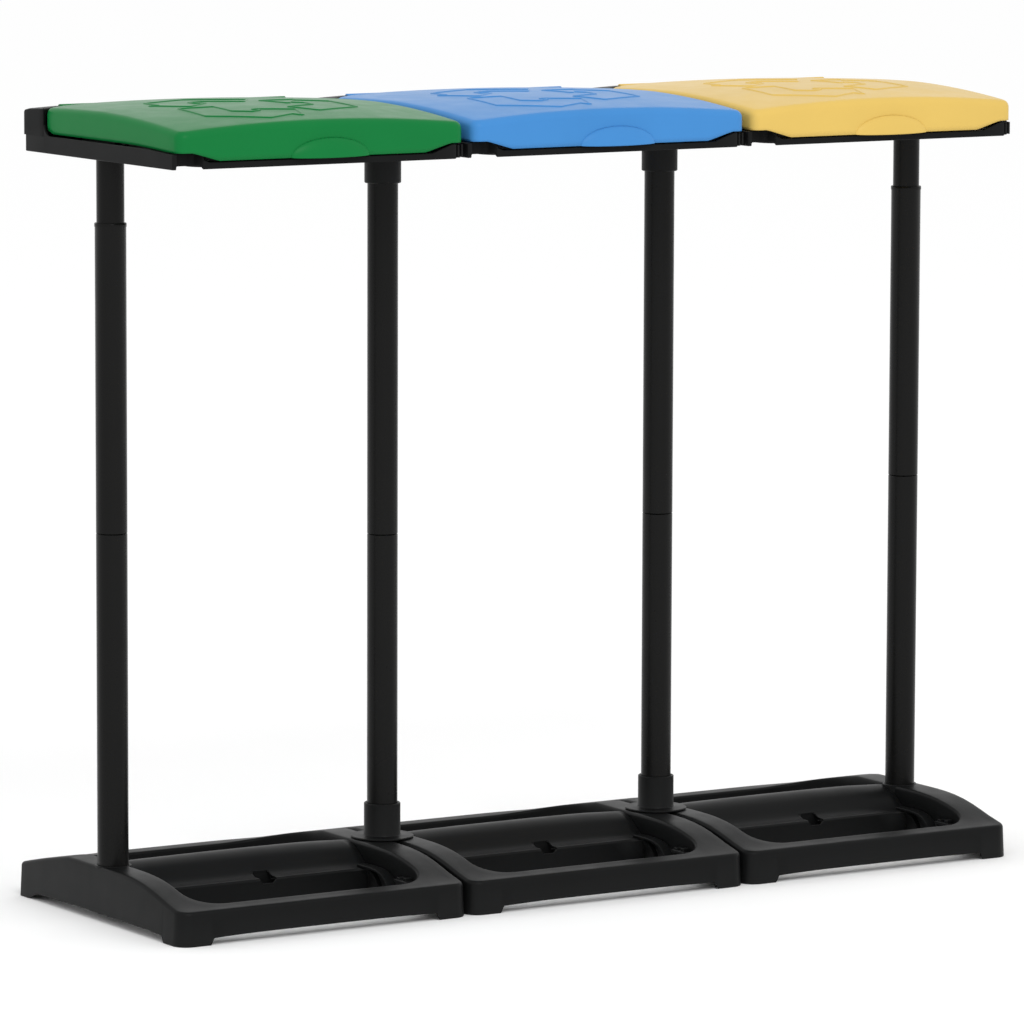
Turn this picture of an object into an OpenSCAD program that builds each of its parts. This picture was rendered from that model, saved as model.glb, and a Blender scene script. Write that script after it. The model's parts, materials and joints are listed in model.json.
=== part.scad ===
// Recycling bin station: three bag stands in a row, joined by the four posts that they share.
// Each module has a moulded base, a rim frame that holds the bag, a bag ring and a hinged lid.
// Millimetres. +X runs along the row, +Y to the rear, +Z up, and the origin is on the floor
// under the middle of the row.

/* [Row] */
// Distance from one module to the next
pitch = 385; // [375:1:400]
// Gap between neighbouring mouldings
seam = 2.5; // [1.5:0.5:4]

/* [Posts] */
// Outer diameter of the tubes
tube_d = 36; // [34:0.5:38]
// Wall of the tubes
tube_wall = 1.8; // [1.2:0.1:2.4]
// Distance from the end of the row to the middle of an end post
post_inset = 24.5; // [24:0.5:26]
// Distance of the posts behind the middle of the base
post_y = 5; // [0:1:10]
// Height of the joint between the two tubes of an end post
end_joint_z = 448; // [400:1:480]
// Height of the joint between the two tubes of a middle post
mid_joint_z = 424; // [400:1:480]
// Height of the upper rim of an end post's upper tube
end_rim_z = 804; // [780:1:820]
// Height of the lower rim of the collar at the top of a middle post
collar_z = 836; // [820:1:850]

/* [Base] */
// Depth of a base
base_d = 390; // [380:1:420]
// Height of a base at its crown, where the posts stand
crown_h = 62.5; // [58:0.5:68]
// Height of a base at its front and rear edges
edge_h = 40; // [36:0.5:44]
// Radius of the corners in plan
base_r = 18; // [12:1:24]
// Width of the side bars beside the window
side_bar = 38; // [36:1:40]
// Wall of the mouldings
wall = 3; // [2.5:0.5:3.5]

/* [Rim frame] */
// Height of the underside of the rim frame
rim_z = 876.5; // [870:0.5:880]
// Front face of the rim frame
rim_front = -186; // [-190:1:-182]
// Rear face of the rim frame
rim_rear = 166; // [164:1:170]
// Width of the opening for the bag
mouth_w = 294; // [280:1:296]

/* [Lid] */
// Height of the lid at its crown
lid_crown = 936; // [932:0.5:940]
// Width of the lid
lid_w = 373; // [368:1:375]
// Front face of the lid
lid_front = -188; // [-190:1:-187]
// Wall of the lid
lid_wall = 2.5; // [2:0.5:3]

/* [Hidden] */
$fn = 64;
cut = 1;
module_w = pitch - seam;
row_half = 1.5 * pitch;
end_post_x = row_half - post_inset;
mid_post_x = pitch / 2;
fit = 0.15;

tube_r = tube_d / 2;
bore_r = tube_r + fit;
spigot_r = tube_r - tube_wall - fit;
spigot_l = 40;

// Base window, crossbar and feet
window_x = module_w / 2 - side_bar;
window_front = -170;
window_rear = 168;
window_r = 38;
bar_y = 18;
bar_half = 45;
bar_z = 38;
bar_rise = 26;
lip_y = -41;
lip_top = 37;
lip_short = 24;
hook_r = 50;
hook_w = 9;
bracket_y = -128;
bracket_z = 27;
bracket_l = 26;
bracket_h = 7;
slot_bottom = 8;
slot_top = 11;
slot_h = 6;
foot_l = 42;
foot_w = 22;
foot_h = 5;
arch_h = 9;
end_socket_z = 14;
mid_socket_z = 22;

// Collars that join two modules at a middle post
spigot_outer = 20;
collar_r = 21.5;
flange_r = 37;
flange_t = 2.2;
base_collar_top = 105;

// Rim frame
rim_wall = 2.5;
rim_side_top = 896.5;
rim_front_top = 884;
rim_notch = 15;
deck_z = 881.5;
deck_t = 2.5;
mouth_front = -162;
mouth_rear = 118;
mouth_r = 26;
mouth_top = 893;
neck_r = 16;
ear_x = 152;
ear_r = 9;

// Hinge
hinge_y = 160;
hinge_z = 924;
pin_r = 2.5;
pin_bore = 2.55;
pin_l = 38;
barrel_r = 5.5;
hinge_gap = 1.5;

// Lid
dome_r = 2100;
lid_mid_y = -10;
lid_skirt = 898;
lid_apron = 885.5;
lid_corner_r = 12;
tongue_x = ear_x - hinge_gap;
notch_sum = lid_w / 2 + 114;
lip_x = 6;
lip_r = 200;
lip_depth = 9.5;
lip_z = 846;
lip_cut = 883;

// ---- outlines ----

function arc(cx, cy, r, a0, a1, n = 8) =
    [for (i = [0:n]) let (a = a0 + (a1 - a0) * i / n) [cx + r * cos(a), cy + r * sin(a)]];

function rounded(x0, x1, y0, y1, r) = concat(
    arc(x1 - r, y1 - r, r, 0, 90), arc(x0 + r, y1 - r, r, 90, 180),
    arc(x0 + r, y0 + r, r, 180, 270), arc(x1 - r, y0 + r, r, 270, 360));

function mirror_x(pts) = [for (i = [len(pts) - 1:-1:0]) [-pts[i][0], pts[i][1]]];

// Extrudes an outline drawn in Y and Z along X, centred
module along_x(length) {
    rotate([90, 0, 90]) linear_extrude(length, center = true) children();
}

// Extrudes an outline drawn in X and Z along Y, from y0 to y1
module along_y(y0, y1) {
    translate([0, y1, 0]) rotate([90, 0, 0]) linear_extrude(y1 - y0) children();
}

module slab(z0, z1) {
    translate([0, 0, z0]) linear_extrude(z1 - z0) children();
}

module tube(r_out, r_in, z0, z1) {
    difference() {
        translate([0, 0, z0]) cylinder(r = r_out, h = z1 - z0);
        translate([0, 0, z0 - cut]) cylinder(r = r_in, h = z1 - z0 + 2 * cut);
    }
}

// ---- base ----

// The top runs level over the middle and falls in a soft S to each end
function fall(t, k) = pow(sin(90 * max(0, min(1, t))), k);
function base_top(y) = crown_h - (crown_h - edge_h) * (y < 0
    ? fall((-y - 40) / (base_d / 2 - 40), 2.4)
    : fall((y - 50) / (base_d / 2 - 50), 1.6));

base_steps = 40;
base_profile = concat(
    [for (i = [0:base_steps]) let (y = base_d * (i / base_steps - 0.5)) [y, base_top(y)]],
    [[base_d / 2, -cut], [-base_d / 2, -cut]]);

module base_form(inset, drop, z0) {
    intersection() {
        slab(z0, crown_h + cut)
            polygon(rounded(-module_w / 2 + inset, module_w / 2 - inset,
                -base_d / 2 + inset, base_d / 2 - inset, base_r - inset));
        translate([0, 0, -drop]) along_x(module_w + 2 * cut) polygon(base_profile);
    }
}

module window(grow) {
    polygon(rounded(-window_x - grow, window_x + grow,
        window_front - grow, window_rear + grow, window_r + grow));
}

module base_hull() {
    difference() {
        base_form(0, 0, 0);
        difference() {
            base_form(wall, wall, -cut);
            slab(-2 * cut, crown_h) window(wall);
        }
        slab(-2 * cut, crown_h + 2 * cut) window(0);
    }
}

// Solid plates that close the underside of the four corners, as feet
module feet() {
    intersection() {
        base_form(0, 0, 0);
        slab(0, wall) difference() {
            square([module_w, base_d], center = true);
            square([module_w - 2 * foot_l, 2 * base_d], center = true);
            square([2 * module_w, base_d - 2 * foot_w], center = true);
        }
    }
}

function half_oval(a, inset) =
    [bar_y - (bar_half - inset) * cos(a), bar_z + (bar_rise - inset) * sin(a)];

// Half-round bar across the window, open below, with a finger slot in its front edge
module crossbar() {
    difference() {
        along_x(2 * window_x + wall)
            polygon(concat([for (a = [0:10:180]) half_oval(a, 0)],
                [for (a = [180:-10:0]) half_oval(a, wall)]));
        along_y(bar_y - bar_half - cut, bar_y)
            polygon([[-slot_bottom, bar_z - cut], [slot_bottom, bar_z - cut],
                [slot_top, bar_z + slot_h], [-slot_top, bar_z + slot_h]]);
    }
}

// Upright lip in front of the crossbar, joined to it by a narrow ledge
module lip() {
    translate([-lip_short / 2, 0, 0]) along_x(2 * window_x + wall - lip_short)
        polygon([[lip_y, 12], [lip_y + wall, 12], [lip_y + wall, lip_top - wall],
            [bar_y - bar_half + 2, lip_top - wall], [bar_y - bar_half + 2, bar_z + 1],
            [bar_y - bar_half - 2, lip_top], [lip_y, lip_top]]);
}

// Curved strip that runs down from the end of the lip along the side of the window, and the
// small bracket on the window's wall in front of it
module lip_hook() {
    translate([window_x + 0.5 - hook_w / 2, 0, 0]) along_x(hook_w)
        polygon(concat(arc(lip_y + wall, lip_top - hook_r, hook_r, 90, 155, 10),
            arc(lip_y + wall, lip_top - hook_r, hook_r - wall, 155, 90, 10)));
    translate([window_x - hook_w - 1, bracket_y, bracket_z])
        cube([hook_w + 2, bracket_l, bracket_h]);
}

// Underside cut away between the feet, rising in a flat arch
module underside() {
    reach = module_w / 2 - foot_l;
    deep = base_d / 2 - foot_w;
    along_y(-base_d, base_d)
        polygon(concat([[-reach, -2 * cut]],
            [for (t = [-1:0.1:1]) [reach * t, foot_h + (arch_h - foot_h) * cos(90 * t)]],
            [[reach, -2 * cut]]));
    along_x(pitch)
        polygon(concat([[-deep, -2 * cut]],
            [for (t = [-1:0.1:1]) [deep * t, foot_h + (arch_h - foot_h) * cos(90 * t)]],
            [[deep, -2 * cut]]));
}

// side: -1 or 1; full: a whole socket for an end post, or half of one at a seam
module base_socket(side, full) {
    if (full)
        translate([side * (end_post_x - pitch), post_y, 0])
            tube(bore_r + wall, bore_r, end_socket_z, crown_h - 1);
    else
        intersection() {
            translate([side * pitch / 2, post_y, 0])
                tube(spigot_outer + fit + wall, spigot_outer + fit, mid_socket_z - 4, crown_h - 1);
            slab(0, crown_h) square([module_w, base_d], center = true);
        }
}

module base_socket_bore(side, full) {
    if (full)
        translate([side * (end_post_x - pitch), post_y, end_socket_z])
            cylinder(r = bore_r, h = crown_h);
    else
        translate([side * pitch / 2, post_y, mid_socket_z - 4])
            cylinder(r = spigot_outer + fit, h = crown_h);
}

// Floor of a post socket, which the tube stands on
module socket_floor(side, full) {
    if (full)
        translate([side * (end_post_x - pitch), post_y, end_socket_z - wall])
            cylinder(r = bore_r + wall, h = wall);
}

module base(left_end, right_end) {
    color("#1c1d1e") {
        difference() {
            union() {
                base_hull();
                crossbar();
                lip();
                lip_hook();
                base_socket(-1, left_end);
                base_socket(1, right_end);
            }
            base_socket_bore(-1, left_end);
            base_socket_bore(1, right_end);
            underside();
        }
        feet();
        socket_floor(-1, left_end);
        socket_floor(1, right_end);
    }
}

// ---- posts ----

// Lower tube: its upper end is drawn down to a spigot that enters the upper tube
module post_lower(x, z0, joint_z) {
    color("#202122") translate([x, post_y, 0]) {
        tube(tube_r, tube_r - tube_wall, z0, joint_z);
        tube(spigot_r, spigot_r - tube_wall, joint_z - 4, joint_z + spigot_l);
        tube(tube_r - tube_wall / 2, spigot_r - tube_wall, joint_z - 4, joint_z);
    }
}

module post_upper(x, joint_z, z1) {
    color("#202122") translate([x, post_y, 0])
        tube(tube_r, tube_r - tube_wall, joint_z + 0.2, z1);
}

// Thin neck between the upper tube of an end post and its rim frame
module post_neck(x) {
    color("#1c1d1e") translate([x, post_y, 0])
        tube(neck_r, neck_r - tube_wall, end_rim_z - spigot_l, mouth_top - 3);
}

// Flanged collar: stands on two bases over their seam and plugs into both
module base_collar(x) {
    color("#1c1d1e") translate([x, post_y, 0]) {
        tube(spigot_outer, bore_r, mid_socket_z - 3, crown_h + 1);
        translate([0, 0, mid_socket_z - 3]) cylinder(r = spigot_outer, h = wall - 0.5);
        tube(flange_r, bore_r, crown_h + 0.1, crown_h + flange_t);
        tube(collar_r, bore_r, crown_h + 1, base_collar_top);
    }
}

// Collar under the rim frames: joins two frames and holds the top of a middle post
module rim_collar(x) {
    color("#1c1d1e") translate([x, post_y, 0]) {
        tube(collar_r, bore_r, collar_z, rim_z - 0.1);
        tube(spigot_outer, bore_r, rim_z - 1, mouth_top - 3);
        translate([0, 0, mouth_top - 3]) cylinder(r = spigot_outer, h = 3);
    }
}

// ---- lid surface ----

// Everything under the lid's domed surface, lowered by drop, as a cap cut from a large sphere
module under_lid(drop) {
    translate([0, lid_mid_y, lid_crown - dome_r]) sphere(r = dome_r - drop, $fn = 360);
}

// Lid outline: rounded front corners, cut off at 45 degrees beside the hinge ears
function lid_right(inset) =
    let (x = lid_w / 2 - inset, t = tongue_x - inset)
    concat(arc(x - lid_corner_r, lid_front + inset + lid_corner_r, lid_corner_r, 270, 360, 6),
        [[x, notch_sum - inset * sqrt(2) - x], [t, notch_sum - inset * sqrt(2) - t]]);

module lid_outline(inset, rear) {
    right = concat(lid_right(inset), [[tongue_x - inset, rear]]);
    polygon(concat(right, mirror_x(right)));
}

// ---- rim frame ----

// Half of the frame's outline: a concave notch at the front corner, a round rear corner
function rim_right(inset) =
    let (x = module_w / 2 - inset, r = rim_notch + inset, a = asin(inset / r))
    concat(arc(module_w / 2, rim_front, r, 180 - a, 90 + a, 6),
        arc(x - ear_r + inset, rim_rear - ear_r, ear_r - inset, 0, 90, 5));

module rim_outline(inset) {
    polygon(concat(rim_right(inset), mirror_x(rim_right(inset))));
}

module mouth(grow) {
    polygon(rounded(-mouth_w / 2 - grow, mouth_w / 2 + grow,
        mouth_front - grow, mouth_rear + grow, mouth_r + grow));
}

// Hinge ear on the rear corner, flush with the lid and cut off at 45 degrees in front
module ear() {
    front = notch_sum + hinge_gap * sqrt(2);
    edge = module_w / 2;
    difference() {
        intersection() {
            slab(deck_z, lid_crown)
                polygon(concat([[ear_x, rim_rear], [ear_x, front - ear_x], [edge, front - edge]],
                    arc(edge - ear_r, rim_rear - ear_r, ear_r, 0, 90, 5)));
            under_lid(0.5);
        }
        translate([ear_x - cut, hinge_y, hinge_z]) rotate([0, 90, 0])
            cylinder(r = pin_r, h = pin_l / 2 + cut);
    }
}

// side: -1 or 1; full: a socket for an end post's neck, or half of a collar socket at a seam
module rim_socket(side, full) {
    if (full)
        translate([side * (end_post_x - pitch), post_y, 0]) {
            tube(neck_r + fit + wall, neck_r + fit, rim_z, mouth_top);
            translate([0, 0, mouth_top - 2]) cylinder(r = neck_r + fit + wall, h = 2);
        }
    else
        intersection() {
            translate([side * pitch / 2, post_y, 0])
                tube(spigot_outer + fit + rim_wall, spigot_outer + fit, rim_z, mouth_top);
            slab(rim_z, mouth_top) square([module_w, base_d], center = true);
        }
}

module rim_socket_bore(side, full) {
    if (full)
        translate([side * (end_post_x - pitch), post_y, rim_z - cut])
            cylinder(r = neck_r + fit, h = mouth_top - 2 - rim_z + cut);
    else
        translate([side * pitch / 2, post_y, rim_z - cut])
            cylinder(r = spigot_outer + fit, h = lid_crown - rim_z);
}

// Front wall is lower between the corners, where the lid's apron comes down
module front_relief() {
    x0 = module_w / 2 - 46;
    x1 = module_w / 2 - 20;
    along_y(rim_front - cut, rim_front + rim_wall + cut)
        polygon([[-x0, rim_front_top], [x0, rim_front_top], [x1, rim_side_top - 3],
            [x1, lid_crown], [-x1, lid_crown], [-x1, rim_side_top - 3]]);
}

module rim(left_end, right_end) {
    color("#1c1d1e") difference() {
        union() {
            difference() {
                slab(rim_z, rim_side_top) rim_outline(0);
                slab(rim_z - cut, rim_side_top + cut) rim_outline(rim_wall);
                front_relief();
            }
            slab(deck_z, deck_z + deck_t) rim_outline(rim_wall / 2);
            slab(rim_z, mouth_top) mouth(rim_wall);
            slab(deck_z, hinge_z - barrel_r - 2)
                translate([-ear_x - cut, rim_rear - rim_wall])
                    square([2 * (ear_x + cut), rim_wall]);
            ear();
            mirror([1, 0, 0]) ear();
            rim_socket(-1, left_end);
            rim_socket(1, right_end);
        }
        slab(rim_z - cut, mouth_top + cut) mouth(0);
        rim_socket_bore(-1, left_end);
        rim_socket_bore(1, right_end);
    }
}

// Loose ring that drops over the mouth and clamps the bag's edge, notched round the end sockets
module bag_ring(left_end, right_end) {
    gap = 1.5;
    top = mouth_top + gap;
    socket_r = neck_r + fit + wall;
    color("#232425") difference() {
        slab(deck_z + deck_t + 0.1, top + rim_wall) mouth(rim_wall + gap + rim_wall);
        slab(deck_z, top) mouth(rim_wall + gap);
        slab(deck_z, top + 2 * rim_wall) mouth(0);
        for (end = [if (left_end) -1, if (right_end) 1])
            translate([end * (end_post_x - pitch), post_y, deck_z])
                cylinder(r = socket_r + gap, h = top - deck_z);
    }
}

// ---- lid ----

// Domed shell with side skirts, a deeper front apron and a thumb lip
module lid_shell() {
    apron_x = lid_w / 2 - 18;
    difference() {
        intersection() {
            union() {
                slab(lid_skirt, lid_crown + cut) lid_outline(0, hinge_y);
                along_y(lid_front, lid_front + lid_wall)
                    polygon([[-apron_x, lid_skirt + cut], [24 - apron_x, lid_apron],
                        [apron_x - 24, lid_apron], [apron_x, lid_skirt + cut]]);
            }
            under_lid(0);
        }
        intersection() {
            slab(lid_skirt - cut, lid_crown) lid_outline(lid_wall, hinge_y + 10);
            under_lid(lid_wall);
        }
    }
}

// Shallow bulge of the apron, cut from a hollow ball
module thumb_lip() {
    intersection() {
        translate([lip_x, lid_front + lip_r - lip_depth, lip_z]) difference() {
            sphere(r = lip_r, $fn = 128);
            sphere(r = lip_r - lid_wall, $fn = 128);
        }
        translate([lip_x - lip_r, lid_front - lip_r, lip_cut])
            cube([2 * lip_r, lip_r + lid_wall - 1, lip_r]);
    }
}

module lid(shade) {
    color(shade) difference() {
        union() {
            lid_shell();
            thumb_lip();
            translate([-tongue_x, hinge_y, hinge_z]) rotate([0, 90, 0])
                cylinder(r = barrel_r, h = 2 * tongue_x);
        }
        for (side = [-1, 1])
            translate([side * tongue_x, hinge_y, hinge_z]) rotate([0, 90, 0])
                cylinder(r = pin_bore, h = pin_l, center = true);
    }
}

module hinge_pins() {
    color("#3a3c3e") for (side = [-1, 1])
        translate([side * (ear_x + tongue_x) / 2, hinge_y, hinge_z]) rotate([0, 90, 0])
            cylinder(r = pin_r, h = pin_l - 2, center = true);
}

// ---- the assembly ----

translate([-pitch, 0, 0]) base(true, false);  // base_left
base(false, false);  // base_centre
translate([pitch, 0, 0]) base(false, true);  // base_right
post_lower(-end_post_x, end_socket_z, end_joint_z);  // post_lower_1
post_lower(-mid_post_x, mid_socket_z, mid_joint_z);  // post_lower_2
post_lower(mid_post_x, mid_socket_z, mid_joint_z);  // post_lower_3
post_lower(end_post_x, end_socket_z, end_joint_z);  // post_lower_4
post_upper(-end_post_x, end_joint_z, end_rim_z);  // post_upper_1
post_upper(-mid_post_x, mid_joint_z, mouth_top - 5);  // post_upper_2
post_upper(mid_post_x, mid_joint_z, mouth_top - 5);  // post_upper_3
post_upper(end_post_x, end_joint_z, end_rim_z);  // post_upper_4
post_neck(-end_post_x);  // post_neck_left
post_neck(end_post_x);  // post_neck_right
base_collar(-mid_post_x);  // base_collar_left
base_collar(mid_post_x);  // base_collar_right
rim_collar(-mid_post_x);  // rim_collar_left
rim_collar(mid_post_x);  // rim_collar_right
translate([-pitch, 0, 0]) rim(true, false);  // rim_left
rim(false, false);  // rim_centre
translate([pitch, 0, 0]) rim(false, true);  // rim_right
translate([-pitch, 0, 0]) bag_ring(true, false);  // bag_ring_left
bag_ring(false, false);  // bag_ring_centre
translate([pitch, 0, 0]) bag_ring(false, true);  // bag_ring_right
translate([-pitch, 0, 0]) lid("#27924a");  // lid_green
lid("#4d93dd");  // lid_blue
translate([pitch, 0, 0]) lid("#e8c66c");  // lid_yellow
translate([-pitch, 0, 0]) hinge_pins();  // hinge_pins_left
hinge_pins();  // hinge_pins_centre
translate([pitch, 0, 0]) hinge_pins();  // hinge_pins_right
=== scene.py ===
"""Looks of the recycling bin station: meshes, materials, light and camera around the CAD frame.

Sizes are millimetres in a module's own frame (x from the module's middle) until a mesh is made.
"""
import json
import math

import bmesh
import bpy
from mathutils import Matrix, Vector


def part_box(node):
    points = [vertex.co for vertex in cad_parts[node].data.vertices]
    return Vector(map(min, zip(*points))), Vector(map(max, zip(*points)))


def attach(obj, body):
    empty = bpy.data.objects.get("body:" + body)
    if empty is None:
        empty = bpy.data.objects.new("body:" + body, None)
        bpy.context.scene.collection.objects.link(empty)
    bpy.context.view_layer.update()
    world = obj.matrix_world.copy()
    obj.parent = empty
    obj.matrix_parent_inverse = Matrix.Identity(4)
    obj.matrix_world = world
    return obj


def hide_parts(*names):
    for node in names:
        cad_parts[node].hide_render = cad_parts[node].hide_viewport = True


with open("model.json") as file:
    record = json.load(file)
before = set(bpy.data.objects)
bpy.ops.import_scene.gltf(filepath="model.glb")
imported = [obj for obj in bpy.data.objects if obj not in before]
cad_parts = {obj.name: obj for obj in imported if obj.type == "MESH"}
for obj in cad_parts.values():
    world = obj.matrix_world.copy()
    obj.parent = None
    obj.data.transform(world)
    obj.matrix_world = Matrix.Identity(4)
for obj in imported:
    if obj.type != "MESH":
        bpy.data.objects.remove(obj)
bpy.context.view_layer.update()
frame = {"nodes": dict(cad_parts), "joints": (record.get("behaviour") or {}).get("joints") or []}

MM = 0.001
SIDES = ("left", "centre", "right")
LID_COLOURS = {"left": "green", "centre": "blue", "right": "yellow"}


# ---- places and sizes taken from the frame ----

def box(node):
    """Lowest and highest corners of a CAD node at rest, in millimetres."""
    low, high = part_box(node)
    return low / MM, high / MM


def middle(node):
    """Middle of a CAD node's box."""
    low, high = box(node)
    return (low + high) / 2


def radius(node):
    """Radius of a round upright CAD node."""
    low, high = box(node)
    return (high.x - low.x) / 2


HALF_W, HALF_D, CROWN_Z = box("base_centre")[1]
CENTRE_X = {side: middle("base_" + side).x for side in SIDES}
PITCH = CENTRE_X["right"]

END_POST_X = middle("post_lower_4").x - PITCH
SEAM_POST_X = PITCH / 2
POST_Y = middle("post_lower_1").y
TUBE_R = radius("post_upper_1")
NECK_R = radius("post_neck_left")
FLANGE_R = radius("base_collar_left")
COLLAR_R = radius("rim_collar_left")

RIM_LOW, RIM_HIGH = box("rim_centre")
RING_LOW, RING_HIGH = box("bag_ring_centre")
LID_HIGH = box("lid_blue")[1]
LID_HALF = LID_HIGH.x
HINGE = Vector(frame["joints"][0]["pos_m"]) / MM
BARREL_R = LID_HIGH.y - HINGE.y

FIT = 0.15
STUB_R = 20.0
TUBE_BORE = TUBE_R + FIT
TUBE_WALL = 1.8
WALL = 3.0
RIM_WALL = 2.5
LID_WALL = 2.5
RING_LIP = 6.5
MOUTH_X = RING_HIGH.x - RING_LIP
MOUTH_FRONT = RING_LOW.y + RING_LIP
MOUTH_REAR = RING_HIGH.y - RING_LIP
MOUTH_R = 26.0


# ---- outlines in plan ----

def arc(centre, start, end, steps):
    """Points from start to end round centre, the short way."""
    a = math.atan2(start.y - centre.y, start.x - centre.x)
    b = math.atan2(end.y - centre.y, end.x - centre.x)
    turn = (b - a + math.pi) % (2 * math.pi) - math.pi
    radius = (start - centre).length
    angles = [a + turn * i / steps for i in range(steps + 1)]
    return [centre + radius * Vector((math.cos(t), math.sin(t))) for t in angles]


def outline(corners, steps, stops):
    """Closed loop through the rounded corners (x, y, radius), anticlockwise. A negative radius bites
    a quarter circle out of the corner. stops are the fractions that divide each straight run, one
    list for all of them or one for the run after each corner."""
    arcs = []
    for i, (x, y, radius) in enumerate(corners):
        here = Vector((x, y))
        back = (Vector(corners[i - 1][:2]) - here).normalized()
        ahead = (Vector(corners[(i + 1) % len(corners)][:2]) - here).normalized()
        if radius < 0:
            arcs.append(arc(here, here - back * radius, here - ahead * radius, steps))
            continue
        half = back.angle(ahead) / 2
        reach = radius / math.tan(half)
        centre = here + (back + ahead).normalized() * radius / math.sin(half)
        arcs.append(arc(centre, here + back * reach, here + ahead * reach, steps))
    loop = []
    for i, bend in enumerate(arcs):
        run = stops[i] if isinstance(stops[0], (list, tuple)) else stops
        ahead = arcs[(i + 1) % len(arcs)][0]
        loop += bend + [bend[-1].lerp(ahead, t) for t in run]
    return loop


def inset(loop, depth):
    """The loop moved inwards by depth, a number or one for each point."""
    depths = depth if isinstance(depth, list) else [depth] * len(loop)
    sharpest = 0.4
    moved = []
    for i, here in enumerate(loop):
        a = (here - loop[i - 1]).normalized()
        b = (loop[(i + 1) % len(loop)] - here).normalized()
        inward = Vector((-a.y - b.y, a.x + b.x)).normalized()
        moved.append(here + inward * depths[i] / max(sharpest, inward.dot(Vector((-a.y, a.x)))))
    return moved


def even(count):
    """Fractions that divide a straight run into count equal parts."""
    return [i / count for i in range(1, count)]


def quarter(steps):
    """Angles from zero to a right angle in equal steps."""
    return [math.radians(90 * i / steps) for i in range(steps + 1)]


def fractions(places, low, high):
    """Where the places lie on the run from low to high, as fractions in order."""
    return [(p - low) / (high - low) for p in sorted(places)]


def smooth(t):
    """Eases from 0 to 1 as t does."""
    t = max(0.0, min(1.0, t))
    return t * t * (3 - 2 * t)


def curve(points, steps=6):
    """Points on a smooth curve (Catmull-Rom) through the given ones."""
    pts = [Vector(p) for p in points]
    out = []
    for i in range(len(pts) - 1):
        p0, p1, p2 = pts[max(i - 1, 0)], pts[i], pts[i + 1]
        p3 = pts[min(i + 2, len(pts) - 1)]
        for k in range(steps):
            t = k / steps
            out.append(0.5 * (2 * p1 + (p2 - p0) * t + (2 * p0 - 5 * p1 + 4 * p2 - p3) * t * t
                              + (3 * p1 - p0 - 3 * p2 + p3) * t ** 3))
    return out + [pts[-1]]


# ---- meshes ----

class Shape:
    """Points and faces of a piece, in millimetres."""

    def __init__(self):
        self.points = []
        self.faces = []

    def skin(self, rings, loops=True, wraps=False, caps=False):
        """Faces between neighbouring rings. loops: each ring is closed. wraps: the last ring joins
        the first. caps: the first and last rings are filled."""
        first, size = len(self.points), len(rings[0])
        for ring in rings:
            self.points += [tuple(p) for p in ring]
        for r in range(len(rings) if wraps else len(rings) - 1):
            a, b = first + r * size, first + ((r + 1) % len(rings)) * size
            for i in range(size if loops else size - 1):
                j = (i + 1) % size
                self.faces.append((a + i, a + j, b + j, b + i))
        if caps:
            last = first + (len(rings) - 1) * size
            self.faces.append(tuple(range(first + size - 1, first - 1, -1)))
            self.faces.append(tuple(range(last, last + size)))
        return self

    def add(self, other):
        """Takes in another shape's points and faces."""
        start = len(self.points)
        self.points += other.points
        self.faces += [tuple(start + i for i in face) for face in other.faces]
        return self

    def moved(self, shift):
        """The shape itself, shifted along x."""
        self.points = [(x + shift, y, z) for x, y, z in self.points]
        return self


def ring_at(loop, heights):
    """A plan loop as points in space; heights is a number, or one for each point."""
    zs = heights if isinstance(heights, list) else [heights] * len(loop)
    return [(p.x, p.y, z) for p, z in zip(loop, zs)]


def lathe(profile, centre=(0.0, 0.0), steps=64, axis="z", start=0.0, turn=360.0):
    """Revolves a closed profile of (radius, place along the axis)."""
    full = turn >= 360
    rings = []
    for i in range(steps if full else steps + 1):
        a = math.radians(start + turn * i / steps)
        u, v = math.cos(a), math.sin(a)
        if axis == "z":
            rings.append([(centre[0] + r * u, centre[1] + r * v, h) for r, h in profile])
        else:
            rings.append([(h, centre[0] + r * u, centre[1] + r * v) for r, h in profile])
    return Shape().skin(rings, wraps=full, caps=not full)


def pipe(outer, inner, z0, z1, soft=0.6):
    """Closed profile of a tube whose four edges are softened."""
    return [(outer - soft, z0), (outer, z0 + soft), (outer, z1 - soft), (outer - soft, z1),
            (inner + soft, z1), (inner, z1 - soft), (inner, z0 + soft), (inner + soft, z0)]


def bar(section, x0, x1, stops=1):
    """A closed section of (y, z) points carried along x."""
    xs = [x0 + (x1 - x0) * i / stops for i in range(stops + 1)]
    return Shape().skin([[(x, y, z) for y, z in section] for x in xs], caps=True)


def block(low, high):
    """A box between two corners."""
    (x0, y0, z0), (x1, y1, z1) = low, high
    return bar([(y0, z0), (y1, z0), (y1, z1), (y0, z1)], x0, x1)


def strip(path, thick, x0, x1):
    """A strap between x0 and x1 that follows a path of (y, z) points, thick on its left side."""
    pts = [Vector(p) for p in path]
    other = []
    for i, p in enumerate(pts):
        along = (pts[min(i + 1, len(pts) - 1)] - pts[max(i - 1, 0)]).normalized()
        other.append(p + Vector((-along.y, along.x)) * thick)
    return bar([tuple(p) for p in pts + other[::-1]], x0, x1)


def plain_mesh(name, shape):
    """The shape as a mesh in metres."""
    mesh = bpy.data.meshes.new(name)
    mesh.from_pydata([(x * MM, y * MM, z * MM) for x, y, z in shape.points], [], shape.faces)
    return mesh


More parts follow.
